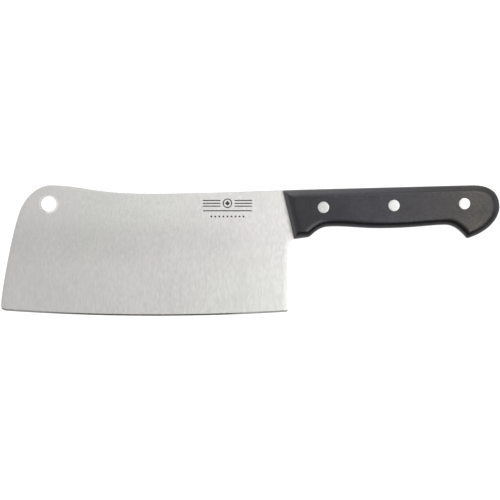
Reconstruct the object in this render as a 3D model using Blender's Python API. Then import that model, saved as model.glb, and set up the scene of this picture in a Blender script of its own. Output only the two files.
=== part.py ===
"""Meat cleaver: a full-tang blade with two riveted handle scales, lying flat.

+X runs along the handle towards the butt, +Y from the cutting edge towards the spine and +Z
across the thickness. The origin is under the middle of the outline, on the plane that the
right-hand scale rests on. Sizes are millimetres, and the objects are built in metres.
"""

import math

import bmesh
import bpy
from mathutils import Matrix, Vector
from mathutils.geometry import interpolate_bezier

MM = 0.001

# Driving dimensions
OVERALL_LENGTH = 260.0
OVERALL_DEPTH = 68.2
HANDLE_THICKNESS = 16.0
BLADE_THICKNESS = 2.8
FIT_GAP = 0.3

# Blade, in plan
FRONT_X = -OVERALL_LENGTH / 2
BUTT_X = OVERALL_LENGTH / 2
NOSE_TOP_Y = OVERALL_DEPTH / 2
EDGE_LOWEST_X = -49.6
EDGE_LOWEST_Y = -OVERALL_DEPTH / 2
EDGE_RADIUS = 1140.0
EDGE_START_X = -127.4
HEEL_X = 19.7
SPINE_WAIST_Y = 29.7

# Blade, across the thickness
GRIND_TOP_Y = 29.0
SHOULDER_HALF = 0.35
EDGE_HALF = 0.05
EDGE_BEVEL_WIDTH = 0.8
PLUNGE_SETBACK = 1.5
PLUNGE_SLOPE = 0.4
GRIND_OVERRUN = 30.0
EDGE_OVERRUN = 5.0
SPINE_CHAMFER = 0.3

# Hanging hole
HANG_HOLE = (-105.0, 24.3)
HANG_RADIUS = 4.0
HANG_SINK_RADIUS = 5.0
HANG_SINK_DEPTH = 0.8

# Handle, in its own plan frame: u runs along the back of the handle, v away from it
HANDLE_FRONT_TOP = (17.0, 31.45)
HANDLE_TILT = math.radians(1.5)
FRONT_LOW_UV = (5.25, -25.75)
GUARD_CORNER_UV = (13.25, -24.85)
BUTT_APEX_V = -11.95
GUARD_CORNER_REACH = 1.2
SCALE_EDGE_WIDTH = 2.8
SCALE_FRONT_WIDTH = 4.4

# Rivets
RIVET_NAMES = ("front", "middle", "rear")
RIVET_FIRST_U = 20.95
RIVET_PITCH = 36.75
RIVET_ROW_V = -9.55
HEAD_RADIUS = 3.0
HEAD_THICKNESS = 1.6
HEAD_RECESS = 0.1
HEAD_CHAMFER = 0.2
SLEEVE_RADIUS = 2.2
SLEEVE_BORE_RADIUS = 1.6
PIN_RADIUS = 1.3

# Smoothness
CURVE_STEP = 2.0
ARC_STEPS = 22
ROUND_STEPS = 40
SMOOTH_ANGLE = math.radians(30)
TOUCHING = 0.01

# Levels across the thickness
MID_Z = HANDLE_THICKNESS / 2
TANG_LOW_Z = MID_Z - BLADE_THICKNESS / 2
TANG_HIGH_Z = MID_Z + BLADE_THICKNESS / 2
SCALE_THICKNESS = TANG_LOW_Z - FIT_GAP


# ---------------------------------------------------------------- outlines

def on_handle(u, v):
    """Plan position of a point given in the handle's own frame."""
    cos, sin = math.cos(HANDLE_TILT), math.sin(HANDLE_TILT)
    return (HANDLE_FRONT_TOP[0] + u * cos - v * sin,
            HANDLE_FRONT_TOP[1] + u * sin + v * cos)


def trace(start, *pieces):
    """Points along a path. A piece is a point, for a straight run, or a cubic curve's
    two handles and end."""
    points = [start]
    for piece in pieces:
        if isinstance(piece[0], tuple):
            knots = [Vector((*point, 0.0)) for point in (points[-1], *piece)]
            reach = sum((b - a).length for a, b in zip(knots, knots[1:]))
            steps = max(4, round(reach / CURVE_STEP))
            curve = interpolate_bezier(*knots, steps + 1)
            points += [(point.x, point.y) for point in curve[1:]]
        else:
            points.append(piece)
    return points


def edge_y(x):
    """Height of the cutting edge's arc at x."""
    return EDGE_LOWEST_Y + EDGE_RADIUS - math.sqrt(EDGE_RADIUS**2 - (x - EDGE_LOWEST_X)**2)


def butt_apex_u():
    """How far along the handle its rearmost point lies, so that it closes the length."""
    run = BUTT_X - HANDLE_FRONT_TOP[0] + BUTT_APEX_V * math.sin(HANDLE_TILT)
    return run / math.cos(HANDLE_TILT)


def butt_point(along):
    """A point on the upright tangent through the butt's rearmost point."""
    return on_handle(butt_apex_u() + along * math.sin(HANDLE_TILT),
                     BUTT_APEX_V + along * math.cos(HANDLE_TILT))


def grip_line():
    """The handle from its lower front corner, along the fingers and round the butt, to the
    upper front corner."""
    h = on_handle
    return trace(
        h(*FRONT_LOW_UV),
        h(*GUARD_CORNER_UV),
        (h(18.9, -19.3), h(21.7, -19.5), h(27.4, -19.65)),
        (h(34.55, -19.8), h(39.5, -20.9), h(49.55, -21.2)),
        (h(67.55, -21.65), h(76.7, -20.1), h(84.3, -20.3)),
        (h(88.9, -20.4), h(92.3, -24.15), h(95.2, -27.75)),
        (h(109.7, -23.8), butt_point(-3.05), butt_point(0.0)),
        (butt_point(12.15), h(101.4, 0.0), h(97.5, 0.0)),
        HANDLE_FRONT_TOP,
    )


def soften(points, corner, reach):
    """Replace a sharp corner of an open line by a small curve that starts and ends at
    `reach` from it."""
    middle = Vector(corner)
    outside = [i for i, point in enumerate(points) if (Vector(point) - middle).length > reach]
    nearest = min(range(len(points)), key=lambda i: (Vector(points[i]) - middle).length)
    before = max(i for i in outside if i < nearest)
    after = min(i for i in outside if i > nearest)
    into = middle + (Vector(points[before]) - middle).normalized() * reach
    away = middle + (Vector(points[after]) - middle).normalized() * reach
    bend = [into.lerp(middle, t).lerp(middle.lerp(away, t), t) for t in (0.0, 0.25, 0.5, 0.75, 1.0)]
    return points[:before + 1] + [tuple(point) for point in bend] + points[after:]


def handle_outline():
    """The handle's closed outline, anticlockwise."""
    return soften(grip_line(), on_handle(*GUARD_CORNER_UV), GUARD_CORNER_REACH)


def spine_and_nose():
    """From the handle along the spine, over the nose and down to the edge's front end."""
    return trace(
        HANDLE_FRONT_TOP,
        ((3.5, 31.1), (-27.5, SPINE_WAIST_Y), (-51.8, SPINE_WAIST_Y)),
        ((-83.2, SPINE_WAIST_Y), (-86.9, NOSE_TOP_Y), (-104.3, NOSE_TOP_Y)),
        ((-107.3, NOSE_TOP_Y), (-116.0, 31.8), (-120.35, 20.1)),
        ((-124.4, 9.05), (FRONT_X, -23.0), (FRONT_X, -28.0)),
        (FRONT_X, -29.4),
        ((FRONT_X, -30.6), (-129.0, -31.3), (EDGE_START_X, edge_y(EDGE_START_X))),
    )


def cutting_edge():
    """The shallow arc of the edge, from the nose to the heel."""
    start = math.asin((EDGE_START_X - EDGE_LOWEST_X) / EDGE_RADIUS)
    end = math.asin((HEEL_X - EDGE_LOWEST_X) / EDGE_RADIUS)
    angles = [start + (end - start) * i / ARC_STEPS for i in range(1, ARC_STEPS + 1)]
    centre_y = EDGE_LOWEST_Y + EDGE_RADIUS
    return [(EDGE_LOWEST_X + EDGE_RADIUS * math.sin(a), centre_y - EDGE_RADIUS * math.cos(a))
            for a in angles]


def heel():
    """Up the heel and round the fillet to the handle's lower front corner."""
    line = trace(
        (HEEL_X, edge_y(HEEL_X)),
        (HEEL_X + 0.4, 0.2),
        ((HEEL_X + 0.45, 3.4), (21.3, 5.6), on_handle(*FRONT_LOW_UV)),
    )
    return line[1:-1]


def blade_outline():
    """The blade's and the tang's closed outline, anticlockwise."""
    return spine_and_nose() + cutting_edge() + heel() + handle_outline()[:-1]


# ---------------------------------------------------------------- mesh helpers

def material(name, colour, metallic, roughness):
    """A plain Principled material."""
    result = bpy.data.materials.new(name)
    result.use_nodes = True
    shader = result.node_tree.nodes["Principled BSDF"]
    shader.inputs["Base Color"].default_value = (*colour, 1.0)
    shader.inputs["Metallic"].default_value = metallic
    shader.inputs["Roughness"].default_value = roughness
    return result


def finish(name, mesh_data, finish_material=None):
    """Turn a bmesh drawn in millimetres into an object in metres."""
    mesh_data.normal_update()
    bmesh.ops.recalc_face_normals(mesh_data, faces=mesh_data.faces)
    mesh_data.transform(Matrix.Scale(MM, 4))
    mesh = bpy.data.meshes.new(name)
    mesh_data.to_mesh(mesh)
    mesh_data.free()
    mesh.shade_smooth()
    mesh.set_sharp_from_angle(angle=SMOOTH_ANGLE)
    if finish_material:
        mesh.materials.append(finish_material)
    result = bpy.data.objects.new(name, mesh)
    bpy.context.scene.collection.objects.link(result)
    return result


def extruded(outline, low, high):
    """A slab of the outline's shape between two heights."""
    slab = bmesh.new()
    face = slab.faces.new([slab.verts.new((x, y, low)) for x, y in outline])
    lifted = bmesh.ops.extrude_face_region(slab, geom=[face])
    top = [item for item in lifted["geom"] if isinstance(item, bmesh.types.BMVert)]
    bmesh.ops.translate(slab, verts=top, vec=(0.0, 0.0, high - low))
    return slab


def turned(profile, centre):
    """Spin a closed (radius, height) profile about the upright line through `centre`."""
    body = bmesh.new()
    verts = [body.verts.new((radius, 0.0, height)) for radius, height in profile]
    edges = [body.edges.new(pair) for pair in zip(verts, verts[1:])]
    bmesh.ops.spin(body, geom=verts + edges, cent=(0, 0, 0), axis=(0, 0, 1),
                   angle=math.tau, steps=ROUND_STEPS, use_merge=True)
    bmesh.ops.remove_doubles(body, verts=body.verts, dist=0.001)
    bmesh.ops.translate(body, verts=body.verts, vec=(*centre, 0.0))
    return body


def cut(target, cutter):
    """Subtract a hidden cutter from a body."""
    cutter.hide_render = True
    cutter.display_type = "WIRE"
    boolean = target.modifiers.new(cutter.name, "BOOLEAN")
    boolean.operation = "DIFFERENCE"
    boolean.solver = "EXACT"
    boolean.object = cutter


def flipped(mesh_data):
    """Mirror a drawing to the other side of the blade's middle plane."""
    mirror = Matrix.Translation((0, 0, HANDLE_THICKNESS)) @ Matrix.Scale(-1, 4, (0, 0, 1))
    mesh_data.transform(mirror)
    return mesh_data


# ---------------------------------------------------------------- blade

def grind_cutter():
    """The wedge that a full-height flat grind takes off the upper side, with a plunge
    ramp that runs parallel to the handle's front."""
    fall = (BLADE_THICKNESS / 2 - SHOULDER_HALF) / (GRIND_TOP_Y - EDGE_LOWEST_Y - EDGE_BEVEL_WIDTH)
    block = bmesh.new()
    bmesh.ops.create_cube(block, size=1.0)
    bmesh.ops.scale(block, verts=block.verts, vec=(OVERALL_LENGTH, 2 * OVERALL_DEPTH, BLADE_THICKNESS))
    middle_x = HEEL_X + GRIND_OVERRUN - OVERALL_LENGTH / 2
    bmesh.ops.translate(block, verts=block.verts, vec=(middle_x, 0.0, TANG_HIGH_Z))
    ground_plane = ((0.0, GRIND_TOP_Y, TANG_HIGH_Z), (0.0, fall, -1.0))
    front_low = Vector(on_handle(*FRONT_LOW_UV))
    along_front = (front_low - Vector(HANDLE_FRONT_TOP)).normalized()
    forward = Vector((along_front.y, -along_front.x))
    ramp_start = Vector(HANDLE_FRONT_TOP) + forward * PLUNGE_SETBACK
    plunge_plane = ((*ramp_start, TANG_HIGH_Z), (*(-forward * PLUNGE_SLOPE), -1.0))
    for point, outward in (ground_plane, plunge_plane):
        everything = block.verts[:] + block.edges[:] + block.faces[:]
        result = bmesh.ops.bisect_plane(block, geom=everything, plane_co=point,
                                        plane_no=outward, clear_outer=True)
        rim = [item for item in result["geom_cut"] if isinstance(item, bmesh.types.BMEdge)]
        bmesh.ops.edgeloop_fill(block, edges=rim)
    return block


def edge_bevel_cutter():
    """The strip that the edge bevel takes off the upper side, spun along the edge's arc."""
    rise = (SHOULDER_HALF - EDGE_HALF) / EDGE_BEVEL_WIDTH
    inside, outside = 3.0, 1.5
    profile = (
        (EDGE_RADIUS + outside, MID_Z + EDGE_HALF - rise * outside),
        (EDGE_RADIUS + outside, MID_Z + BLADE_THICKNESS),
        (EDGE_RADIUS - inside, MID_Z + EDGE_HALF + rise * inside),
    )
    centre = Vector((EDGE_LOWEST_X, EDGE_LOWEST_Y + EDGE_RADIUS, 0.0))
    start = math.asin((FRONT_X - EDGE_OVERRUN - EDGE_LOWEST_X) / EDGE_RADIUS)
    end = math.asin((HEEL_X + EDGE_OVERRUN - EDGE_LOWEST_X) / EDGE_RADIUS)
    strip = bmesh.new()
    direction = Vector((math.sin(start), -math.cos(start), 0.0))
    verts = [strip.verts.new(centre + direction * radius + Vector((0, 0, z))) for radius, z in profile]
    face = strip.faces.new(verts)
    bmesh.ops.spin(strip, geom=[face], cent=centre, axis=(0, 0, 1),
                   angle=end - start, steps=ARC_STEPS)
    return strip


def hang_hole_cutter():
    """The hanging hole with a countersink on both sides."""
    low, high = TANG_LOW_Z, TANG_HIGH_Z
    slope = (HANG_SINK_RADIUS - HANG_RADIUS) / HANG_SINK_DEPTH
    over = 0.5
    profile = (
        (0.0, low - over),
        (HANG_SINK_RADIUS + slope * over, low - over),
        (HANG_RADIUS, low + HANG_SINK_DEPTH),
        (HANG_RADIUS, high - HANG_SINK_DEPTH),
        (HANG_SINK_RADIUS + slope * over, high + over),
        (0.0, high + over),
    )
    return turned(profile, HANG_HOLE)


def chamfer_spine(slab):
    """Ease the spine's two long edges."""
    def on_spine(vert):
        return vert.co.y > GRIND_TOP_Y and vert.co.x < HANDLE_FRONT_TOP[0] + TOUCHING
    long_edges = [edge for edge in slab.edges
                  if all(on_spine(vert) for vert in edge.verts)
                  and abs(edge.verts[0].co.z - edge.verts[1].co.z) < TOUCHING]
    bmesh.ops.bevel(slab, geom=long_edges, offset=SPINE_CHAMFER, affect="EDGES", segments=1)


def make_blade():
    steel = material("brushed_steel", (0.60, 0.60, 0.61), 1.0, 0.38)
    slab = extruded(blade_outline(), TANG_LOW_Z, TANG_HIGH_Z)
    chamfer_spine(slab)
    blade = finish("blade", slab, steel)
    cut(blade, finish("cutter_grind_left", grind_cutter()))
    cut(blade, finish("cutter_grind_right", flipped(grind_cutter())))
    cut(blade, finish("cutter_bevel_left", edge_bevel_cutter()))
    cut(blade, finish("cutter_bevel_right", flipped(edge_bevel_cutter())))
    cut(blade, finish("cutter_hang_hole", hang_hole_cutter()))
    for name, centre in rivets():
        bore = SLEEVE_RADIUS + FIT_GAP
        profile = ((0.0, 0.0), (bore, 0.0), (bore, HANDLE_THICKNESS), (0.0, HANDLE_THICKNESS))
        cut(blade, finish("cutter_tang_" + name, turned(profile, centre)))
    even_shading(blade)


# ---------------------------------------------------------------- handle

def rivets():
    """Each rivet's name and its place in plan."""
    return [(name, on_handle(RIVET_FIRST_U + RIVET_PITCH * i, RIVET_ROW_V))
            for i, name in enumerate(RIVET_NAMES)]


def round_edges(scale):
    """Round the outer face's edges: widely along the front, less along the rest."""
    weights = scale.data.attributes.new("bevel_weight_edge", "FLOAT", "EDGE")
    verts = scale.data.vertices
    front_low = Vector(on_handle(*FRONT_LOW_UV))
    front_top = Vector(HANDLE_FRONT_TOP)
    for edge in scale.data.edges:
        ends = [verts[i].co / MM for i in edge.vertices]
        if all(min(abs(end.z), abs(end.z - HANDLE_THICKNESS)) < TOUCHING for end in ends):
            at_front = all(min((end.xy - front_low).length, (end.xy - front_top).length) < TOUCHING
                           for end in ends)
            weights.data[edge.index].value = 1.0 if at_front else SCALE_EDGE_WIDTH / SCALE_FRONT_WIDTH
    bevel = scale.modifiers.new("rounding", "BEVEL")
    bevel.limit_method = "WEIGHT"
    bevel.width = SCALE_FRONT_WIDTH * MM
    bevel.segments = 4
    bevel.use_clamp_overlap = False


def even_shading(target):
    """Keep flat faces looking flat next to their rounded edges."""
    normals = target.modifiers.new("even_shading", "WEIGHTED_NORMAL")
    normals.keep_sharp = True


def counterbore_cutter(centre):
    """The stepped hole in the right-hand scale that takes a rivet's head and sleeve."""
    head = HEAD_RADIUS + FIT_GAP
    step = HEAD_RECESS + HEAD_THICKNESS + FIT_GAP
    bore = SLEEVE_RADIUS + FIT_GAP
    profile = ((0.0, -1.0), (head, -1.0), (head, step), (bore, step), (bore, MID_Z), (0.0, MID_Z))
    return turned(profile, centre)


def make_scale(side, mirrored):
    plastic = material("moulded_plastic_" + side, (0.035, 0.035, 0.038), 0.0, 0.42)
    slab = extruded(handle_outline(), 0.0, SCALE_THICKNESS)
    scale = finish("scale_" + side, flipped(slab) if mirrored else slab, plastic)
    round_edges(scale)
    for name, centre in rivets():
        cutter = counterbore_cutter(centre)
        cut(scale, finish(f"cutter_{side}_{name}", flipped(cutter) if mirrored else cutter))
    even_shading(scale)


def make_rivet_pin(name, centre):
    """The solid half, pushed in from the right-hand side."""
    steel = material("polished_steel_pin_" + name, (0.75, 0.75, 0.75), 1.0, 0.2)
    head_top = HEAD_RECESS + HEAD_THICKNESS
    tip = HANDLE_THICKNESS - head_top - 2 * FIT_GAP
    profile = (
        (0.0, HEAD_RECESS),
        (HEAD_RADIUS - HEAD_CHAMFER, HEAD_RECESS),
        (HEAD_RADIUS, HEAD_RECESS + HEAD_CHAMFER),
        (HEAD_RADIUS, head_top),
        (PIN_RADIUS, head_top),
        (PIN_RADIUS, tip - HEAD_CHAMFER),
        (PIN_RADIUS - HEAD_CHAMFER, tip),
        (0.0, tip),
    )
    finish(f"rivet_{name}_pin", turned(profile, centre), steel)


def make_rivet_sleeve(name, centre):
    """The hollow half, pushed in from the left-hand side. Heights are measured from the
    left-hand face and flipped at the end."""
    steel = material("polished_steel_sleeve_" + name, (0.75, 0.75, 0.75), 1.0, 0.2)
    head_top = HEAD_RECESS + HEAD_THICKNESS
    mouth = HANDLE_THICKNESS - head_top - 2 * FIT_GAP
    profile = (
        (0.0, HEAD_RECESS),
        (HEAD_RADIUS - HEAD_CHAMFER, HEAD_RECESS),
        (HEAD_RADIUS, HEAD_RECESS + HEAD_CHAMFER),
        (HEAD_RADIUS, head_top),
        (SLEEVE_RADIUS, head_top),
        (SLEEVE_RADIUS, mouth),
        (SLEEVE_BORE_RADIUS, mouth),
        (SLEEVE_BORE_RADIUS, head_top),
        (0.0, head_top),
    )
    finish(f"rivet_{name}_sleeve", flipped(turned(profile, centre)), steel)


def main():
    for item in list(bpy.data.objects):
        bpy.data.objects.remove(item)
    make_blade()
    make_scale("right", mirrored=False)
    make_scale("left", mirrored=True)
    for name, centre in rivets():
        make_rivet_pin(name, centre)
        make_rivet_sleeve(name, centre)


main()
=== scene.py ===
"""Meat cleaver, lying flat and seen from straight above.

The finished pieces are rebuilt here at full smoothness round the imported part. Sizes are in
millimetres unless a name says otherwise; objects are made in metres.
"""

import math

import bmesh
import bpy
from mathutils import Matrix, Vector
from mathutils.geometry import delaunay_2d_cdt, interpolate_bezier, intersect_line_line_2d
from mathutils.kdtree import KDTree


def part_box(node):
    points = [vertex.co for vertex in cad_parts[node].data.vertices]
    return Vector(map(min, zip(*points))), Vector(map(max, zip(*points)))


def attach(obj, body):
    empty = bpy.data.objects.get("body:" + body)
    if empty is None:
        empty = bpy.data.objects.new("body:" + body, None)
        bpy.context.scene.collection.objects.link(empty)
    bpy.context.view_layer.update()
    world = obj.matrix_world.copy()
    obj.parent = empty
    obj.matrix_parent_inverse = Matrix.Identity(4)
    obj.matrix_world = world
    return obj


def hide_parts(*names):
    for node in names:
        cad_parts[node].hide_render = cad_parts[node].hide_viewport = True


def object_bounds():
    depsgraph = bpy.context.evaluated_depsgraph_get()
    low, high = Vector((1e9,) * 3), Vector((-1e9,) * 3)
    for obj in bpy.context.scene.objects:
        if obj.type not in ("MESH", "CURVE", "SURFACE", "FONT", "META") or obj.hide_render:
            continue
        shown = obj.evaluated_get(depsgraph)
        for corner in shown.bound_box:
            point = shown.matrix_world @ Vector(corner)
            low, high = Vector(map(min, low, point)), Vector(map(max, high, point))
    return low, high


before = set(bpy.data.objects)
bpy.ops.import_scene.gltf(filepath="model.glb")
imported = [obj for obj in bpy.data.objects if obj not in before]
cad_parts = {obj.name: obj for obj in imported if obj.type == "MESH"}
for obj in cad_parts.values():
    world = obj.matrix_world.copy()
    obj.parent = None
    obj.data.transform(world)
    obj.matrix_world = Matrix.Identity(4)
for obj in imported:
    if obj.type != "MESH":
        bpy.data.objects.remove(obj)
cad_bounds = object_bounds()

MM = 0.001

# ---------------------------------------------------------------- sizes from the frame

blade_low, blade_high = (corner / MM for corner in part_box("blade"))
scale_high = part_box("scale_left")[1] / MM

FRONT_X, BUTT_X = blade_low.x, blade_high.x
EDGE_LOWEST_Y, NOSE_TOP_Y = blade_low.y, blade_high.y
MID_Z = (blade_low.z + blade_high.z) / 2
HALF_BLADE = (blade_high.z - blade_low.z) / 2
HANDLE_TOP_Z = scale_high.z

# ---------------------------------------------------------------- shape

# Blade, in plan
EDGE_LOWEST_X = -49.6
EDGE_RADIUS = 1140.0
EDGE_START_X = -127.4
NOSE_STRAIGHT_Y = -29.4
HEEL_X = 19.7
SPINE_WAIST_Y = 29.7
EDGE_CENTRE = Vector((EDGE_LOWEST_X, EDGE_LOWEST_Y + EDGE_RADIUS))

# Blade, across the thickness
GRIND_TOP_Y = 29.0
SHOULDER_HALF = 0.35
EDGE_HALF = 0.05
EDGE_BEVEL_WIDTH = 0.8
GRIND_FALL = (HALF_BLADE - SHOULDER_HALF) / (GRIND_TOP_Y - EDGE_LOWEST_Y - EDGE_BEVEL_WIDTH)
BEVEL_RISE = (SHOULDER_HALF - EDGE_HALF) / EDGE_BEVEL_WIDTH
GRIND_BLEND = 3.0
PLUNGE_START = -1.2
PLUNGE_END = -0.2
SPINE_ROUND = 0.35
HEEL_ROUND_WIDTH = 3.0
HEEL_ROUND_DROP = 0.05
HEEL_FADE = 2.0

# Blade, direction of the grain on its upright faces
GRAIN_SKEW_X = 0.31
GRAIN_SKEW_Y = 0.17

# Hanging hole
HANG_HOLE = Vector((-105.0, 24.3))
HANG_RADIUS = 4.0
HANG_SINK_RADIUS = 5.0
HANG_SINK_DEPTH = 0.8
SINK_LIP = 0.12

# Handle
HANDLE_FRONT_TOP = (17.0, 31.45)
HANDLE_TILT = math.radians(1.5)
FRONT_LOW_UV = (5.25, -25.75)
GUARD_CORNER_UV = (13.25, -24.85)
BEAK_TIP_UV = (95.2, -27.75)
BUTT_APEX_V = -11.95
GUARD_CORNER_REACH = 1.2

# Rounding of the handle scales
SCALE_ROUND = 4.3
SCALE_ROUND_DROP = 2.6
SCALE_FRONT_ROUND = 4.6
SCALE_FRONT_DROP = 3.8
FRONT_DROP_REACH = 9.0
FRONT_DROP_FADE = 5.0
SCALE_BUTT_ROUND = 7.0
BUTT_ROUND_FADE = 13.0
BUTT_SOFTNESS = 0.2
SEAT_CHAMFER_WIDTH = 0.03
SEAT_CHAMFER_HEIGHT = 0.02
FACE_OVERRUN = 0.04

# Rivets
RIVET_NAMES = ("front", "middle", "rear")
HEAD_THICKNESS = 1.6
SLEEVE_RADIUS = 2.2
SLEEVE_BORE_RADIUS = 1.6
PIN_RADIUS = 1.5
HEAD_RECESS = 0.05
HEAD_DOME = 0.015
HEAD_EDGE_ROUND = 0.12
PIN_END_CHAMFER = 0.2
PIN_END_GAP = 0.1
HOLE_CHAMFER = 0.06
HOLE_GAP = 0.05
SEAM_GAP = 0.01
LOWER_HEAD_Z = 2 * MID_Z - HANDLE_TOP_Z + HEAD_RECESS
LOWER_HEAD_TOP_Z = LOWER_HEAD_Z + HEAD_THICKNESS

# Etched ornament
MARK_X = -11.8
MARK_TOP_Y = 24.6
MARK_MIDDLE_Y = 20.7
MARK_LOW_Y = 17.7
MARK_HALF_LENGTH = 12.8
MARK_LINE = 0.28
MARK_RING = 2.2
MARK_DIAMOND = 1.3
MARK_BAR_GAP = 1.5
MARK_DOT = 0.5
MARK_DOT_PITCH = 2.1
MARK_DOTS_EACH_WAY = 4

# Smoothness
LINE_STEP = 0.5
ROUND_STEPS = 72
ROUNDING_STEPS = 8
BEND_STEPS = 8
HEAD_FACE_STEPS = 6
HEAD_RIM_STEPS = 5
CORNER_SEARCH = 40
CORNER_EASING = 3
BLADE_GRID = 1.5
SCALE_FACE_GRID = 3.0
SCALE_SEAT_GRID = 4.0
GRID_CLEARANCE = 0.6
SAME_POINT = 1e-6
SMOOTH_ANGLE = math.radians(12)

# Stage, in metres
FLOOR_SIZE = 6.0
FLOOR_GAP = 0.00005

# ---------------------------------------------------------------- light levels

ZENITH = 0.80
SPINE_SIDE = 1.3
FRONT_SIDE = 1.25
BUTT_SIDE = 0.85
EDGE_SIDE = 0.06
HORIZON = 1.2


# ---------------------------------------------------------------- outlines

def smooth_step(value):
    value = min(max(value, 0.0), 1.0)
    return value * value * (3 - 2 * value)


def on_handle(u, v):
    """Plan position of a point in the handle's own frame: u along its back, v away from it."""
    cos, sin = math.cos(HANDLE_TILT), math.sin(HANDLE_TILT)
    return (HANDLE_FRONT_TOP[0] + u * cos - v * sin,
            HANDLE_FRONT_TOP[1] + u * sin + v * cos)


def butt_point(along):
    """A point on the upright tangent through the butt's rearmost point."""
    run = BUTT_X - HANDLE_FRONT_TOP[0] + BUTT_APEX_V * math.sin(HANDLE_TILT)
    apex_u = run / math.cos(HANDLE_TILT)
    return on_handle(apex_u + along * math.sin(HANDLE_TILT),
                     BUTT_APEX_V + along * math.cos(HANDLE_TILT))


def trace(start, *pieces):
    """Points along a path. A piece is a point, for a straight run, or a cubic curve's two
    handles and end."""
    points = [Vector(start)]
    for piece in pieces:
        if isinstance(piece[0], tuple):
            knots = [points[-1]] + [Vector(point) for point in piece]
            reach = sum((b - a).length for a, b in zip(knots, knots[1:]))
            curve = interpolate_bezier(*knots, max(5, round(reach / LINE_STEP)))
            points += [point.to_2d() for point in curve[1:]]
        else:
            end = Vector(piece)
            steps = max(1, round((end - points[-1]).length / LINE_STEP))
            points += [points[-1].lerp(end, i / steps) for i in range(1, steps + 1)]
    return points


def edge_point(x):
    """A point of the cutting edge's shallow arc."""
    return Vector((x, EDGE_CENTRE.y - math.sqrt(EDGE_RADIUS**2 - (x - EDGE_CENTRE.x)**2)))


def spine_and_nose():
    """From the handle along the spine, over the nose and round the corner to the edge."""
    return trace(
        HANDLE_FRONT_TOP,
        ((3.5, 31.1), (-27.5, SPINE_WAIST_Y), (-51.8, SPINE_WAIST_Y)),
        ((-83.2, SPINE_WAIST_Y), (-86.9, NOSE_TOP_Y), (-104.3, NOSE_TOP_Y)),
        ((-107.3, NOSE_TOP_Y), (-116.0, 31.8), (-120.35, 20.1)),
        ((-124.4, 9.05), (FRONT_X, -23.0), (FRONT_X, -28.0)),
        (FRONT_X, NOSE_STRAIGHT_Y),
        ((FRONT_X, -30.6), (-129.0, -31.3), tuple(edge_point(EDGE_START_X))),
    )


def cutting_edge():
    steps = round((HEEL_X - EDGE_START_X) / LINE_STEP)
    return [edge_point(EDGE_START_X + (HEEL_X - EDGE_START_X) * i / steps) for i in range(steps + 1)]


def heel():
    """Up the heel and round the fillet to the handle's lower front corner."""
    return trace(
        tuple(edge_point(HEEL_X)),
        (HEEL_X + 0.4, 0.2),
        ((HEEL_X + 0.45, 3.4), (21.3, 5.6), on_handle(*FRONT_LOW_UV)),
    )


def soften(points, corner, reach):
    """Round a corner inside a line with a small curve that starts and ends `reach` from it."""
    middle = Vector(corner)
    before = [point for point in points[:points.index(middle)] if (point - middle).length > reach]
    after = [point for point in points[points.index(middle):] if (point - middle).length > reach]
    into = middle + (before[-1] - middle).normalized() * reach
    away = middle + (after[0] - middle).normalized() * reach
    shares = [i / BEND_STEPS for i in range(BEND_STEPS + 1)]
    bend = [into.lerp(middle, t).lerp(middle.lerp(away, t), t) for t in shares]
    return before + bend + after


def grip():
    """From the lower front corner, under the fingers, to the tip of the beak."""
    h = on_handle
    line = trace(
        h(*FRONT_LOW_UV),
        h(*GUARD_CORNER_UV),
        (h(18.9, -19.3), h(21.7, -19.5), h(27.4, -19.65)),
        (h(34.55, -19.8), h(39.5, -20.9), h(49.55, -21.2)),
        (h(67.55, -21.65), h(76.7, -20.1), h(84.3, -20.3)),
        (h(88.9, -20.4), h(92.3, -24.15), h(*BEAK_TIP_UV)),
    )
    corner = Vector(h(*GUARD_CORNER_UV))
    nearest = min(range(len(line)), key=lambda i: (line[i] - corner).length)
    line[nearest] = corner
    return soften(line, corner, GUARD_CORNER_REACH)


def butt_and_back():
    """From the tip of the beak, round the butt, along the back to the upper front corner."""
    h = on_handle
    return trace(
        h(*BEAK_TIP_UV),
        (h(109.7, -23.8), butt_point(-3.05), butt_point(0.0)),
        (butt_point(12.15), h(101.4, 0.0), h(97.5, 0.0)),
        HANDLE_FRONT_TOP,
    )


def handle_front():
    return trace(HANDLE_FRONT_TOP, on_handle(*FRONT_LOW_UV))


# ---------------------------------------------------------------- rings

def inset(line, width):
    """The line moved to its left by width(point)."""
    moved = []
    for i, point in enumerate(line):
        along = (line[min(i + 1, len(line) - 1)] - line[max(i - 1, 0)]).normalized()
        moved.append(point + Vector((-along.y, along.x)) * width(point))
    return moved


def meet(first, second):
    """Trim the end of one line and the start of the next to where they cross."""
    for i in range(len(first) - 2, max(len(first) - CORNER_SEARCH, 0), -1):
        for j in range(min(CORNER_SEARCH, len(second) - 1)):
            cross = intersect_line_line_2d(first[i], first[i + 1], second[j], second[j + 1])
            if cross:
                return first[:i + 1] + [cross], [cross] + second[j + 1:]
    return first, second


def respaced(line, count):
    """The same line with `count` evenly spaced steps."""
    travelled = [0.0]
    for a, b in zip(line, line[1:]):
        travelled.append(travelled[-1] + (b - a).length)
    result, i = [], 0
    for step in range(count + 1):
        goal = travelled[-1] * step / count
        while i < len(line) - 2 and travelled[i + 1] < goal:
            i += 1
        span = travelled[i + 1] - travelled[i]
        result.append(line[i].lerp(line[i + 1], (goal - travelled[i]) / span if span else 0.0))
    return result


def ring(lines, widths):
    """One closed ring: every line moved in by its own width, trimmed at the corners between
    lines, and eased there by a few rounds of averaging."""
    moved = [inset(line, width) for line, width in zip(lines, widths)]
    for i in range(len(moved)):
        following = (i + 1) % len(moved)
        moved[i], moved[following] = meet(moved[i], moved[following])
    points = []
    for line, original in zip(moved, lines):
        points += respaced(line, len(original) - 1)[:-1]
    for _ in range(CORNER_EASING):
        points = [(points[i - 1] + points[i] * 2 + points[(i + 1) % len(points)]) / 4
                  for i in range(len(points))]
    return points


# ---------------------------------------------------------------- mesh building

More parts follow.
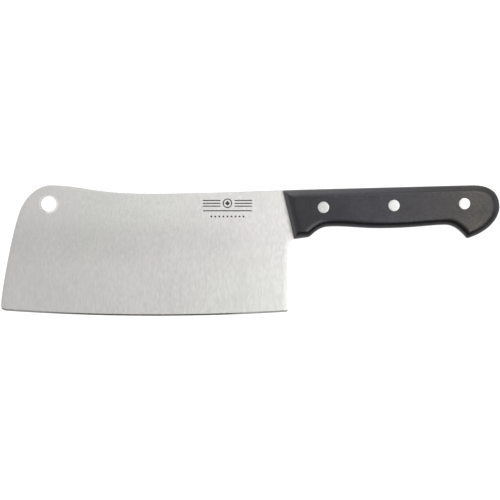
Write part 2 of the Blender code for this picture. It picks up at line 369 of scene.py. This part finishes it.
def add_ring(body, points, heights):
    return [body.verts.new((point.x, point.y, z)) for point, z in zip(points, heights)]


def bridge(body, first, second):
    """Quads between two rings of the same number of points."""
    for i in range(len(first)):
        following = (i + 1) % len(first)
        body.faces.new((first[i], first[following], second[following], second[i]))


def bridge_all(body, loops):
    """Quads from each ring to the next."""
    for first, second in zip(loops, loops[1:]):
        bridge(body, first, second)


def circle(centre, radius):
    return [centre + Vector((math.cos(a), math.sin(a))) * radius
            for a in (math.tau * i / ROUND_STEPS for i in range(ROUND_STEPS))]


def fill(body, outer, holes, height, spacing):
    """Cover the area inside a ring, and outside the rings of round holes, each given as
    (centre, ring), with triangles over a grid of points. Height gives a new point's z."""
    rings = [outer] + [loop for _, loop in holes]
    radii = [(loop[0].co.to_2d() - centre).length for centre, loop in holes]
    points, loops, known = [], [], []
    for loop in rings:
        loops.append(list(range(len(points), len(points) + len(loop))))
        points += [vert.co.to_2d() for vert in loop]
        known += loop
    tree = KDTree(len(points))
    for i, point in enumerate(points):
        tree.insert((point.x, point.y, 0.0), i)
    tree.balance()
    low = Vector((min(p.x for p in points), min(p.y for p in points)))
    high = Vector((max(p.x for p in points), max(p.y for p in points)))
    for row in range(1, int((high.y - low.y) / spacing) + 1):
        for column in range(1, int((high.x - low.x) / spacing) + 1):
            shift = spacing / 2 if row % 2 else 0.0
            spot = Vector((low.x + column * spacing + shift, low.y + row * spacing))
            if tree.find((spot.x, spot.y, 0.0))[2] > spacing * GRID_CLEARANCE:
                points.append(spot)
    edges = [(loop[i], loop[(i + 1) % len(loop)]) for loop in loops for i in range(len(loop))]
    flat, _, faces, origins, _, _ = delaunay_2d_cdt(points, edges, [], 1, SAME_POINT)
    verts = [known[origin[0]] if origin and origin[0] < len(known) else None for origin in origins]
    for face in faces:
        middle = sum((flat[i] for i in face), Vector((0.0, 0.0))) / 3
        if any((middle - centre).length < radius for (centre, _), radius in zip(holes, radii)):
            continue
        for i in face:
            if verts[i] is None:
                verts[i] = body.verts.new((flat[i].x, flat[i].y, height(flat[i])))
        body.faces.new([verts[i] for i in face])


def finish(name, body, material, replaced, uv=None):
    """Make the object in metres, let it ride on the part and hide the node it replaces."""
    bmesh.ops.recalc_face_normals(body, faces=body.faces)
    if uv:
        layer = body.loops.layers.uv.new("grain")
        for face in body.faces:
            for loop in face.loops:
                loop[layer].uv = uv(loop.vert.co)
    bmesh.ops.scale(body, verts=body.verts, vec=(MM, MM, MM))
    mesh = bpy.data.meshes.new(name)
    body.to_mesh(mesh)
    body.free()
    mesh.shade_smooth()
    mesh.set_sharp_from_angle(angle=SMOOTH_ANGLE)
    mesh.materials.append(material)
    piece = bpy.data.objects.new(name, mesh)
    bpy.context.scene.collection.objects.link(piece)
    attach(piece, "root")
    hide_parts(replaced)


# ---------------------------------------------------------------- blade

def ahead_of_handle(point):
    """How far a point lies in front of the handle's slanted front."""
    along = (Vector(on_handle(*FRONT_LOW_UV)) - Vector(HANDLE_FRONT_TOP)).normalized()
    return (point - Vector(HANDLE_FRONT_TOP)).dot(Vector((along.y, -along.x)))


def half_thickness(point, drop=0.0):
    """Half the blade's thickness: a flat grind that starts softly below the spine and runs
    out just under the handle's front, and the edge bevel. Drop is taken off by a rounded edge."""
    below = max(GRIND_TOP_Y + GRIND_BLEND / 2 - point.y, 0.0)
    depth = below**2 / (2 * GRIND_BLEND) if below < GRIND_BLEND else below - GRIND_BLEND / 2
    run_out = smooth_step((ahead_of_handle(point) - PLUNGE_START) / (PLUNGE_END - PLUNGE_START))
    ground = HALF_BLADE - GRIND_FALL * depth * run_out - drop
    from_edge = EDGE_RADIUS - (point - EDGE_CENTRE).length
    return max(min(ground, EDGE_HALF + BEVEL_RISE * from_edge), EDGE_HALF)


def shoulder_width(point):
    """How far in from the cutting edge the bevel meets the grind."""
    half_at_edge = HALF_BLADE - GRIND_FALL * (GRIND_TOP_Y - point.y)
    return (half_at_edge - EDGE_HALF) / (BEVEL_RISE - GRIND_FALL)


def heel_amount(point):
    """1 along the heel, fading to 0 just behind the handle's front."""
    return smooth_step((ahead_of_handle(point) + HEEL_FADE) / HEEL_FADE)


def blade_rings():
    """The blade's outline and the rings that round its edges, as (points, drops)."""
    lines = [spine_and_nose(), cutting_edge(), heel(), grip(), butt_and_back()]
    edge_kind, heel_kinds = 1, (2, 3)
    nose_corner_y = edge_point(EDGE_START_X).y

    def nose_width(point):
        to_edge = smooth_step((point.y - NOSE_STRAIGHT_Y) / (nose_corner_y - NOSE_STRAIGHT_Y))
        return SPINE_ROUND + (shoulder_width(point) - SPINE_ROUND) * to_edge

    def plain_width(point):
        return SPINE_ROUND

    widths = [nose_width, shoulder_width, plain_width, plain_width, plain_width]
    rings = []
    for step in range(ROUNDING_STEPS + 1):
        turn = math.pi / 2 * step / ROUNDING_STEPS
        even = step / ROUNDING_STEPS

        def offset(point, kind):
            plain = widths[kind](point) * (1 - math.cos(turn))
            eased = HEEL_ROUND_WIDTH * even
            amount = heel_amount(point) if kind in heel_kinds else 0.0
            return plain + (eased - plain) * amount

        def drop(point, kind):
            plain = 0.0 if kind == edge_kind else SPINE_ROUND * (1 - math.sin(turn))
            eased = HEEL_ROUND_DROP * (1 - even)**2
            amount = heel_amount(point) if kind in heel_kinds else 0.0
            return plain + (eased - plain) * amount

        moved = [lambda point, kind=kind: offset(point, kind) for kind in range(len(lines))]
        points = ring(lines, moved)
        kinds = [kind for kind, line in enumerate(lines) for _ in line[:-1]]
        rings.append((points, [drop(point, kind) for point, kind in zip(points, kinds)]))
    return rings


def hole_profile(radius, sink_radius):
    """A hole's rings from the blade's face inwards, as (radius, share of the way down to the
    straight wall). A countersink has softly rounded lips."""
    if sink_radius == radius:
        return [(radius, 0.0)]
    return [(sink_radius + SINK_LIP, 0.0), (sink_radius + SINK_LIP / 3, 0.03),
            (sink_radius - SINK_LIP / 2, 0.12), (radius + SINK_LIP, 0.93), (radius, 1.0)]


def blade_hole(body, side, centre, radius, sink_radius, sink_depth):
    """One side's rings of a hole through the blade, from the face down to the straight wall."""
    wall_top = half_thickness(centre) - sink_depth
    loops = []
    for at_radius, share in hole_profile(radius, sink_radius):
        points = circle(centre, at_radius)
        halves = [half_thickness(point) * (1 - share) + wall_top * share for point in points]
        loops.append(add_ring(body, points, [MID_Z + side * half for half in halves]))
    bridge_all(body, loops)
    return loops


def make_blade(material):
    body = bmesh.new()
    rings = blade_rings()
    bore = SLEEVE_RADIUS + HOLE_GAP
    holes = [(HANG_HOLE, HANG_RADIUS, HANG_SINK_RADIUS, HANG_SINK_DEPTH)]
    holes += [(rivet_centre(name), bore, bore, 0.0) for name in RIVET_NAMES]
    outlines, walls = [], []
    for side in (1, -1):
        def height(point, drop=0.0, side=side):
            return MID_Z + side * half_thickness(point, drop)

        loops = [add_ring(body, points, [height(p, d) for p, d in zip(points, drops)])
                 for points, drops in rings]
        bridge_all(body, loops)
        hole_loops = [blade_hole(body, side, *hole) for hole in holes]
        openings = [(hole[0], ends[0]) for hole, ends in zip(holes, hole_loops)]
        fill(body, loops[-1], openings, height, BLADE_GRID)
        outlines.append(loops[0])
        walls.append([ends[-1] for ends in hole_loops])
    bridge(body, *outlines)
    for upper, lower in zip(*walls):
        bridge(body, upper, lower)
    finish("blade_plate", body, material, "blade",
           uv=lambda co: (co.x + GRAIN_SKEW_X * co.z, co.y + GRAIN_SKEW_Y * co.z))


# ---------------------------------------------------------------- handle

def bent(value, power):
    """A value raised to a power, with its sign kept."""
    return math.copysign(abs(value)**power, value)


def rivet_centre(name):
    low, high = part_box(f"rivet_{name}_sleeve")
    return ((low + high) / 2 / MM).to_2d()


def rivet_radius(name):
    low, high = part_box(f"rivet_{name}_sleeve")
    return (high.x - low.x) / 2 / MM


def seat_height(point):
    """How far a scale's seat on the blade lies from the blade's middle plane."""
    return half_thickness(point) + SEAM_GAP


def scale_profile():
    """A scale's section from its seat on the blade up the wall, over the rounding and just onto
    the outer face, as (reach, wall, rise). Reach is 1 at the outline and 0 where the rounding
    ends. Wall goes from 0 at the seat to 1 at the foot of the rounding, and rise from 0 there
    to 1 at the outer face."""
    profile = [(1.0 - SEAT_CHAMFER_WIDTH, 0.0, 0.0), (1.0, SEAT_CHAMFER_HEIGHT, 0.0)]
    profile += [(1.0, i / 4, 0.0) for i in (1, 2, 3)]
    for step in range(ROUNDING_STEPS * 2 + 1):
        turn = math.pi / 2 * step / (ROUNDING_STEPS * 2)
        profile.append((math.cos(turn), 1.0, math.sin(turn)))
    return profile + [(-FACE_OVERRUN, 1.0, 1.0)]


def scale_hole(body, sign, outer, name):
    """The rings of a scale's stepped rivet hole, from the outer face to the seat."""
    centre = rivet_centre(name)
    head = rivet_radius(name) + HOLE_GAP
    bore = SLEEVE_RADIUS + HOLE_GAP
    step_down = outer - HEAD_RECESS - HEAD_THICKNESS - HOLE_GAP
    profile = [(head + HOLE_CHAMFER, outer), (head, outer - HOLE_CHAMFER), (head, step_down),
               (bore, step_down), (bore, seat_height(centre))]
    loops = [add_ring(body, circle(centre, radius), [MID_Z + sign * height] * ROUND_STEPS)
             for radius, height in profile]
    bridge_all(body, loops)
    return loops


def make_scale(side, sign, material):
    """A handle scale with rounded outer edges. Sign is 1 for the upper one, -1 for the other."""
    lines = [grip(), butt_and_back(), handle_front()]
    outer = HANDLE_TOP_Z - MID_Z

    def to_butt(point):
        return smooth_step((point.x - BUTT_X + BUTT_ROUND_FADE) / BUTT_ROUND_FADE)

    def butt_width(point):
        return SCALE_ROUND + (SCALE_BUTT_ROUND - SCALE_ROUND) * to_butt(point)

    def power(point):
        """1 for a quarter ellipse, and less towards the butt, where the rounding starts softly."""
        return 1 - BUTT_SOFTNESS * to_butt(point)

    def drop(point):
        near_front = smooth_step((ahead_of_handle(point) + FRONT_DROP_REACH) / FRONT_DROP_FADE)
        return SCALE_ROUND_DROP + (SCALE_FRONT_DROP - SCALE_ROUND_DROP) * near_front

    widths = (lambda point: SCALE_ROUND, butt_width, lambda point: SCALE_FRONT_ROUND)
    body = bmesh.new()
    loops = []
    for reach, wall, rise in scale_profile():
        moved = [lambda point, width=width: width(point) * (1 - bent(reach, power(point)))
                 for width in widths]
        points = ring(lines, moved)
        heights = []
        for point in points:
            seat = seat_height(point)
            climb = drop(point) * bent(rise, power(point))
            height = seat + (outer - drop(point) - seat) * wall + climb
            heights.append(MID_Z + sign * height)
        loops.append(add_ring(body, points, heights))
    bridge_all(body, loops)
    holes = [(rivet_centre(name), scale_hole(body, sign, outer, name)) for name in RIVET_NAMES]
    on_face = [(centre, rings[0]) for centre, rings in holes]
    on_seat = [(centre, rings[-1]) for centre, rings in holes]
    fill(body, loops[-1], on_face, lambda point: MID_Z + sign * outer, SCALE_FACE_GRID)
    fill(body, loops[0], on_seat, lambda point: MID_Z + sign * seat_height(point), SCALE_SEAT_GRID)
    finish(f"handle_scale_{side}", body, material, f"scale_{side}")


def turned(profile, centre, flip):
    """Spin a (radius, height) profile that starts and ends on the axis. Flip turns the
    piece over about the handle's middle plane."""
    body = bmesh.new()
    loops = []
    for radius, height in profile:
        z = 2 * MID_Z - height if flip else height
        if radius == 0:
            loops.append([body.verts.new((centre.x, centre.y, z))])
        else:
            loops.append(add_ring(body, circle(centre, radius), [z] * ROUND_STEPS))
    for first, second in zip(loops, loops[1:]):
        if len(first) == 1 or len(second) == 1:
            tip, rim = (first[0], second) if len(first) == 1 else (second[0], first)
            for i in range(ROUND_STEPS):
                body.faces.new((tip, rim[i], rim[(i + 1) % ROUND_STEPS]))
        else:
            bridge(body, first, second)
    return body


def head_profile(radius):
    """A rivet head's outer face, from its middle: a hint of a dome and a rounded rim."""
    flat = radius - HEAD_EDGE_ROUND
    rim_z = LOWER_HEAD_Z + HEAD_DOME
    shares = [i / HEAD_FACE_STEPS for i in range(HEAD_FACE_STEPS + 1)]
    turns = [math.pi / 2 * i / HEAD_RIM_STEPS for i in range(1, HEAD_RIM_STEPS + 1)]
    face = [(flat * t, LOWER_HEAD_Z + HEAD_DOME * t**2) for t in shares]
    rim = [(flat + HEAD_EDGE_ROUND * math.sin(a), rim_z + HEAD_EDGE_ROUND * (1 - math.cos(a)))
           for a in turns]
    return face + rim + [(radius, LOWER_HEAD_TOP_Z)]


def make_rivets(material):
    mouth = HANDLE_TOP_Z - HEAD_RECESS - HEAD_THICKNESS - HOLE_GAP
    pin_end = mouth - PIN_END_GAP
    pin_shank = [(PIN_RADIUS, LOWER_HEAD_TOP_Z), (PIN_RADIUS, pin_end - PIN_END_CHAMFER),
                 (PIN_RADIUS - PIN_END_CHAMFER, pin_end), (0, pin_end)]
    sleeve_shank = [(SLEEVE_RADIUS, LOWER_HEAD_TOP_Z), (SLEEVE_RADIUS, mouth),
                    (SLEEVE_BORE_RADIUS, mouth), (SLEEVE_BORE_RADIUS, LOWER_HEAD_TOP_Z),
                    (0, LOWER_HEAD_TOP_Z)]
    for name in RIVET_NAMES:
        centre = rivet_centre(name)
        head = head_profile(rivet_radius(name))
        pin = turned(head + pin_shank, centre, flip=False)
        sleeve = turned(head + sleeve_shank, centre, flip=True)
        finish(f"turned_pin_{name}", pin, material, f"rivet_{name}_pin")
        finish(f"turned_sleeve_{name}", sleeve, material, f"rivet_{name}_sleeve")


# ---------------------------------------------------------------- materials

class Nodes:
    """A short way to build a material's or a world's nodes."""

    def __init__(self, tree):
        self.tree = tree

    def add(self, kind, settings=None, **inputs):
        """A new node. Inputs are named, with _ for a space, or numbered as i0, i1 and so on."""
        node = self.tree.nodes.new("ShaderNode" + kind)
        for name, value in (settings or {}).items():
            setattr(node, name, value)
        for name, value in inputs.items():
            key = int(name[1:]) if name[0] == "i" and name[1:].isdigit() else name.replace("_", " ")
            self.join(value, node.inputs[key])
        return node

    def join(self, value, socket):
        """Feed a socket with another node's output or with a plain value."""
        if isinstance(value, bpy.types.NodeSocket):
            self.tree.links.new(value, socket)
        else:
            socket.default_value = value

    def math(self, operation, *values):
        node = self.add("Math", {"operation": operation})
        for value, socket in zip(values, node.inputs):
            self.join(value, socket)
        return node.outputs[0]

    def length(self, x, y):
        """How long a flat vector is."""
        squares = self.math("ADD", self.math("POWER", x, 2.0), self.math("POWER", y, 2.0))
        return self.math("SQRT", squares)

    def mapped(self, value, low, high, new_low, new_high):
        """A value's range from low to high carried over to a new range, and held outside it."""
        node = self.add("MapRange", {"clamp": True}, Value=value, From_Min=low, From_Max=high,
                        To_Min=new_low, To_Max=new_high)
        return node.outputs[0]

    def noise(self, vector, scale, detail):
        node = self.add("TexNoise", Vector=vector, Scale=scale, Detail=detail)
        return node.outputs["Fac"]

    def stretched(self, vector, factors):
        return self.add("VectorMath", {"operation": "MULTIPLY"}, i0=vector, i1=factors).outputs[0]

    def mix(self, share, first, second):
        """A colour between two others."""
        node = self.add("Mix", {"data_type": "RGBA"})
        self.join(share, node.inputs[0])
        self.join(first, node.inputs[6])
        self.join(second, node.inputs[7])
        return node.outputs[2]

    def ramp(self, value, stops):
        """A colour that changes along a value from 0 to 1, given as (place, colour) stops."""
        node = self.add("ValToRGB", Fac=value)
        elements = node.color_ramp.elements
        elements[0].color = (*stops[0][1], 1.0)
        elements[-1].color = (*stops[-1][1], 1.0)
        for place, colour in stops[1:-1]:
            elements.new(place).color = (*colour, 1.0)
        return node.outputs[0]

    def bump(self, height, strength, distance):
        return self.add("Bump", Height=height, Strength=strength, Distance=distance).outputs[0]

    def parts(self, vector):
        """The x, y and z of a vector."""
        return self.add("SeparateXYZ", Vector=vector).outputs


def new_material(name):
    material = bpy.data.materials.new(name)
    material.use_nodes = True
    nodes = Nodes(material.node_tree)
    shader = material.node_tree.nodes["Principled BSDF"]
    position = nodes.add("TexCoord").outputs["Object"]
    return material, nodes, shader, position


def etched_mark(nodes, position):
    """A plain etched ornament on the blade's upper side, with no letters or figures: a diamond
    in a ring between bars, over a long bar and a row of dots."""
    x, y, z = nodes.parts(position)

    def bar(centre, half_length, half_width):
        in_length = nodes.math("COMPARE", x, centre[0] * MM, half_length * MM)
        in_width = nodes.math("COMPARE", y, centre[1] * MM, half_width * MM)
        return nodes.math("MULTIPLY", in_length, in_width)

    def distance(across, centre_y):
        return nodes.length(across, nodes.math("SUBTRACT", y, centre_y * MM))

    from_middle = nodes.math("SUBTRACT", x, MARK_X * MM)
    rise = nodes.math("ABSOLUTE", nodes.math("SUBTRACT", y, MARK_TOP_Y * MM))
    diamond = nodes.math("LESS_THAN", nodes.math("ADD", nodes.math("ABSOLUTE", from_middle), rise),
                         MARK_DIAMOND * MM)
    ring_line = nodes.math("COMPARE", distance(from_middle, MARK_TOP_Y), MARK_RING * MM,
                           MARK_LINE * MM)
    shapes = [diamond, ring_line, bar((MARK_X, MARK_MIDDLE_Y), MARK_HALF_LENGTH, MARK_LINE)]
    side_half = (MARK_HALF_LENGTH - MARK_RING - MARK_BAR_GAP) / 2
    for side in (-1, 1):
        for level in (-1, 0, 1):
            centre = (MARK_X + side * (MARK_HALF_LENGTH - side_half),
                      MARK_TOP_Y + level * MARK_BAR_GAP)
            shapes.append(bar(centre, side_half, MARK_LINE))
    step = nodes.math("ROUND", nodes.math("DIVIDE", from_middle, MARK_DOT_PITCH * MM))
    to_dot = nodes.math("SUBTRACT", from_middle, nodes.math("MULTIPLY", step, MARK_DOT_PITCH * MM))
    dot = nodes.math("LESS_THAN", distance(to_dot, MARK_LOW_Y), MARK_DOT * MM)
    in_row = nodes.math("COMPARE", step, 0.0, MARK_DOTS_EACH_WAY + 0.1)
    shapes.append(nodes.math("MULTIPLY", dot, in_row))
    mask = shapes[0]
    for shape in shapes[1:]:
        mask = nodes.math("MAXIMUM", mask, shape)
    return nodes.math("MULTIPLY", mask, nodes.math("GREATER_THAN", z, MID_Z * MM))


def bevel_ends(nodes, position):
    """1 on the edge bevel by the heel, a little less by the nose, 0 between them and off the
    bevel. Places are in metres."""
    x, y, _ = nodes.parts(position)
    from_centre = nodes.length(nodes.math("SUBTRACT", x, EDGE_CENTRE.x * MM),
                               nodes.math("SUBTRACT", y, EDGE_CENTRE.y * MM))
    bevel = nodes.math("GREATER_THAN", from_centre, (EDGE_RADIUS - EDGE_BEVEL_WIDTH) * MM)
    by_nose = nodes.mapped(x, -0.112, -0.083, 0.75, 0.0)
    by_heel = nodes.mapped(x, -0.012, -0.002, 0.0, 1.0)
    return nodes.math("MULTIPLY", bevel, nodes.math("ADD", by_nose, by_heel))


def steel_tone(nodes, position, fine_lines):
    """How much paler the steel is than its average. The grain is finer at the nose. Ahead of the
    handle a painted highlight makes the steel a shade paler by the spine, and the steel is darker
    along the middle. Places are in metres."""
    streaks = nodes.noise(nodes.stretched(position, (1400.0, 420.0, 420.0)), 1.0, detail=2.0)
    clouds = nodes.noise(position, 70.0, detail=3.0)
    grain = nodes.mapped(streaks, 0.3, 0.7, -0.055, 0.055)
    grain = nodes.math("ADD", grain, nodes.mapped(fine_lines, 0.3, 0.7, -0.03, 0.03))
    grain = nodes.math("ADD", grain, nodes.mapped(clouds, 0.3, 0.7, -0.025, 0.025))
    x, y, _ = nodes.parts(position)
    grain_strength = nodes.mapped(x, -0.12, -0.03, 0.72, 1.06)
    # Painted highlight: the steel's colour is made paler towards the spine, standing in for brighter
    # reflected light there.
    painted_spine_highlight = nodes.mapped(y, 0.010, 0.024, 0.0, 0.085)
    from_band = nodes.math("ABSOLUTE", nodes.math("SUBTRACT", y, 0.004))
    darker_band = nodes.mapped(from_band, 0.0, 0.012, -0.045, 0.0)
    ahead = nodes.mapped(x, -0.02, 0.005, 1.0, 0.0)
    spine_highlight_and_band = nodes.math("MULTIPLY", nodes.math("ADD", painted_spine_highlight, darker_band), ahead)
    return nodes.math("ADD", nodes.math("MULTIPLY", grain, grain_strength), spine_highlight_and_band)


def steel_tint(nodes, position):
    """The steel's average colour, a grey that wanders between warm and greenish and is rosier at
    the nose."""
    warm = (0.555, 0.543, 0.529, 1.0)
    greenish = (0.545, 0.546, 0.525, 1.0)
    rosy = (0.553, 0.543, 0.537, 1.0)
    patches = nodes.noise(position, 14.0, detail=1.0)
    tint = nodes.mix(nodes.mapped(patches, 0.4, 0.6, 0.0, 1.0), warm, greenish)
    at_nose = nodes.mapped(nodes.parts(position)[0], -0.125, -0.085, 1.0, 0.0)
    return nodes.mix(at_nose, tint, rosy)


def blade_steel():
    """Stainless steel with a satin grain ground straight across the blade, from spine to edge.
    Steep faces, such as the countersink's, are smoother and have no lay, and the ornament is
    etched dull."""
    material, nodes, shader, position = new_material("satin_blade_steel")
    fine_lines = nodes.noise(nodes.stretched(position, (9000.0, 160.0, 160.0)), 1.0, detail=2.0)
    tone = steel_tone(nodes, position, fine_lines)
    colour = nodes.add("VectorMath", {"operation": "SCALE"}, i0=steel_tint(nodes, position))
    nodes.join(nodes.math("ADD", 1.0, tone), colour.inputs["Scale"])
    etched = etched_mark(nodes, position)
    etched_colour = (0.035, 0.035, 0.036, 1.0)
    nodes.join(nodes.mix(etched, colour.outputs[0], etched_colour), shader.inputs["Base Color"])
    nodes.join(nodes.mapped(etched, 0.0, 1.0, 1.0, 0.4), shader.inputs["Metallic"])

    facing_up = nodes.parts(nodes.add("TexCoord").outputs["Normal"])[2]
    steep = nodes.mapped(nodes.math("ABSOLUTE", facing_up), 0.90, 0.85, 0.0, 1.0)
    roughness = nodes.mapped(steep, 0.0, 1.0, 0.26, 0.16)
    roughness = nodes.math("ADD", roughness, nodes.math("MULTIPLY", etched, 0.24))
    duller = nodes.math("MULTIPLY", bevel_ends(nodes, position), 0.3)
    nodes.join(nodes.math("ADD", roughness, duller), shader.inputs["Roughness"])
    nodes.join(nodes.mapped(steep, 0.0, 1.0, 0.4, 0.0), shader.inputs["Anisotropic"])
    tangent = nodes.add("Tangent", {"direction_type": "UV_MAP", "uv_map": "grain"})
    nodes.join(tangent.outputs[0], shader.inputs["Tangent"])
    nodes.join(nodes.bump(fine_lines, 0.01, 0.00001), shader.inputs["Normal"])
    return material


def scale_plastic():
    """Black moulded plastic with a fine satin texture and painted highlights: its colour is paler on
    faces turned to the spine side, most of all by the blade, and on faces turned to the front, the
    butt and the steep rims. Places are in metres."""
    material, nodes, shader, position = new_material("black_scale_plastic")
    x = nodes.parts(position)[0]
    facing = nodes.parts(nodes.add("TexCoord").outputs["Normal"])
    # Painted highlights: the base colour turns paler on faces that look towards the lit spine side,
    # front and butt, and on the steep rims.
    painted_back_highlight = nodes.math("MULTIPLY", nodes.mapped(facing[1], 0.04, 0.34, 0.0, 1.0),
                             nodes.mapped(x, 0.02, 0.11, 1.0, 0.3))
    painted_front_highlight = nodes.mapped(nodes.math("MULTIPLY", facing[0], -1.0), 0.35, 0.65, 0.0, 0.46)
    painted_rim_highlight = nodes.mapped(nodes.math("ABSOLUTE", facing[2]), 0.8, 0.5, 0.0, 0.17)
    painted_butt_highlight = nodes.math("MULTIPLY", nodes.mapped(facing[0], 0.05, 0.35, 0.0, 0.49),
                             nodes.mapped(x, 0.110, 0.122, 0.0, 1.0))
    painted_highlights = nodes.math("MAXIMUM", nodes.math("MAXIMUM", painted_back_highlight, painted_front_highlight),
                        nodes.math("MAXIMUM", painted_rim_highlight, painted_butt_highlight))
    # The first colour is the plastic's own black; the second is the pale grey of the painted
    # highlights.
    black = (0.0085, 0.0080, 0.0085, 1.0)
    highlight_grey = (0.067, 0.0655, 0.067, 1.0)
    nodes.join(nodes.mix(painted_highlights, black, highlight_grey), shader.inputs["Base Color"])

    mottle = nodes.noise(nodes.stretched(position, (900.0, 1200.0, 1200.0)), 1.0, detail=3.0)
    patches = nodes.noise(position, 90.0, detail=2.0)
    sheen = nodes.math("ADD", nodes.mapped(mottle, 0.3, 0.7, 0.50, 0.76),
                       nodes.mapped(patches, 0.3, 0.7, -0.06, 0.06))
    nodes.join(sheen, shader.inputs["Specular IOR Level"])
    # Painted light and shade: the sheen's tint is stronger and bluer by the blade and much weaker at
    # the butt, standing in for how the light falls along the handle.
    along = nodes.mapped(x, HANDLE_FRONT_TOP[0] * MM, BUTT_X * MM, 0.0, 1.0)
    tint = nodes.ramp(along, [(0.0, (0.78, 0.785, 0.83)), (0.35, (0.85, 0.835, 0.95)),
                              (0.70, (0.74, 0.71, 0.73)), (0.90, (0.835, 0.79, 0.73)),
                              (0.96, (0.63, 0.61, 0.59)), (1.0, (0.60, 0.58, 0.58))])
    nodes.join(tint, shader.inputs["Specular Tint"])

    nodes.join(0.2, shader.inputs["Roughness"])
    nodes.join(1.47, shader.inputs["IOR"])
    texture = nodes.noise(position, 2600.0, detail=2.0)
    nodes.join(nodes.bump(texture, 0.15, 0.00002), shader.inputs["Normal"])
    return material


def rivet_steel():
    """Rivet heads ground flush with the scales, with a fine straight lay."""
    material, nodes, shader, position = new_material("ground_rivet_steel")
    lines = nodes.noise(nodes.stretched(position, (9000.0, 500.0, 500.0)), 1.0, detail=2.0)
    in_groove = (0.42, 0.42, 0.41, 1.0)
    on_ridge = (0.47, 0.47, 0.46, 1.0)
    colour = nodes.mix(nodes.mapped(lines, 0.3, 0.7, 0.0, 1.0), in_groove, on_ridge)
    nodes.join(colour, shader.inputs["Base Color"])
    nodes.join(1.0, shader.inputs["Metallic"])
    nodes.join(nodes.mapped(lines, 0.3, 0.7, 0.25, 0.31), shader.inputs["Roughness"])
    nodes.join(nodes.bump(lines, 0.1, 0.00001), shader.inputs["Normal"])
    return material


# ---------------------------------------------------------------- stage

def make_floor():
    material = bpy.data.materials.new("white_sweep")
    material.use_nodes = True
    shader = material.node_tree.nodes["Principled BSDF"]
    shader.inputs["Base Color"].default_value = (0.35, 0.35, 0.35, 1.0)
    shader.inputs["Roughness"].default_value = 0.9
    shader.inputs["Specular IOR Level"].default_value = 0.0
    shader.inputs["Emission Color"].default_value = (1.0, 1.0, 1.0, 1.0)
    shader.inputs["Emission Strength"].default_value = 0.9
    floor_z = cad_bounds[0].z - FLOOR_GAP
    bpy.ops.mesh.primitive_plane_add(size=FLOOR_SIZE, location=(0.0, 0.0, floor_z))
    floor = bpy.context.object
    floor.name = "floor"
    floor.data.materials.append(material)


def make_world():
    """A soft studio, as brightness by direction. Angles lean from straight up: `across`
    towards the butt and `along` towards the spine."""
    world = bpy.data.worlds.new("studio")
    world.use_nodes = True
    bpy.context.scene.world = world
    nodes = Nodes(world.node_tree)
    background = world.node_tree.nodes["Background"]
    direction = nodes.add("TexCoord").outputs["Generated"]
    x, y, z = nodes.parts(direction)
    across = nodes.math("ARCTAN2", x, z)
    along = nodes.math("ARCTAN2", y, z)

    def band(angle, start, full, fade, end):
        """1 between two angles in degrees, fading to 0 outside them."""
        rise = nodes.mapped(angle, math.radians(start), math.radians(full), 0.0, 1.0)
        fall = nodes.mapped(angle, math.radians(fade), math.radians(end), 1.0, 0.0)
        return nodes.math("MULTIPLY", rise, fall)

    def towards(level, goal, share):
        change = nodes.math("MULTIPLY", nodes.math("SUBTRACT", goal, level), share)
        return nodes.math("ADD", level, change)

    level = ZENITH
    level = towards(level, SPINE_SIDE, band(along, 18, 36, 90, 120))
    level = towards(level, FRONT_SIDE, band(across, -120, -90, -32, -18))
    level = towards(level, BUTT_SIDE, band(across, 28, 42, 80, 100))
    edge_side = nodes.math("MULTIPLY", band(along, -58, -46, -20, -9), band(across, -65, -45, 45, 65))
    level = towards(level, EDGE_SIDE, edge_side)
    level = towards(level, HORIZON, nodes.mapped(z, 0.14, 0.36, 1.0, 0.0))
    nodes.join((1.0, 1.0, 1.0, 1.0), background.inputs["Color"])
    nodes.join(level, background.inputs["Strength"])


def area_light(name, size, location, target, radiance):
    """A rectangular softbox of the given brightness, aimed at a point. Metres."""
    data = bpy.data.lights.new(name, "AREA")
    data.shape = "RECTANGLE"
    data.size, data.size_y = size
    data.energy = radiance * math.pi * size[0] * size[1]
    light = bpy.data.objects.new(name, data)
    light.location = location
    light.rotation_euler = (Vector(location) - Vector(target)).to_track_quat("Z", "Y").to_euler()
    bpy.context.scene.collection.objects.link(light)


def make_camera():
    """Straight above, far off with a long lens, so that the outline is seen square."""
    distance = 5.0
    seen_width = 0.2604
    over_x, over_y = -0.00005, 0.00024
    data = bpy.data.cameras.new("camera")
    data.sensor_width = 36.0
    data.lens = data.sensor_width * distance / seen_width
    data.clip_start, data.clip_end = 0.5, 20.0
    camera = bpy.data.objects.new("camera", data)
    camera.location = (over_x, over_y, distance + HANDLE_TOP_Z * MM)
    bpy.context.scene.collection.objects.link(camera)
    bpy.context.scene.camera = camera


def set_stage():
    bpy.context.scene.view_settings.view_transform = "Standard"
    make_camera()
    make_floor()
    make_world()
    area_light("overhead_softbox", size=(0.34, 0.8), location=(0.265, 0.0, 0.9),
               target=(0.265, 0.0, 0.0), radiance=2.7)


def make_cleaver():
    make_blade(blade_steel())
    plastic = scale_plastic()
    make_scale("left", 1, plastic)
    make_scale("right", -1, plastic)
    make_rivets(rivet_steel())


set_stage()
make_cleaver()
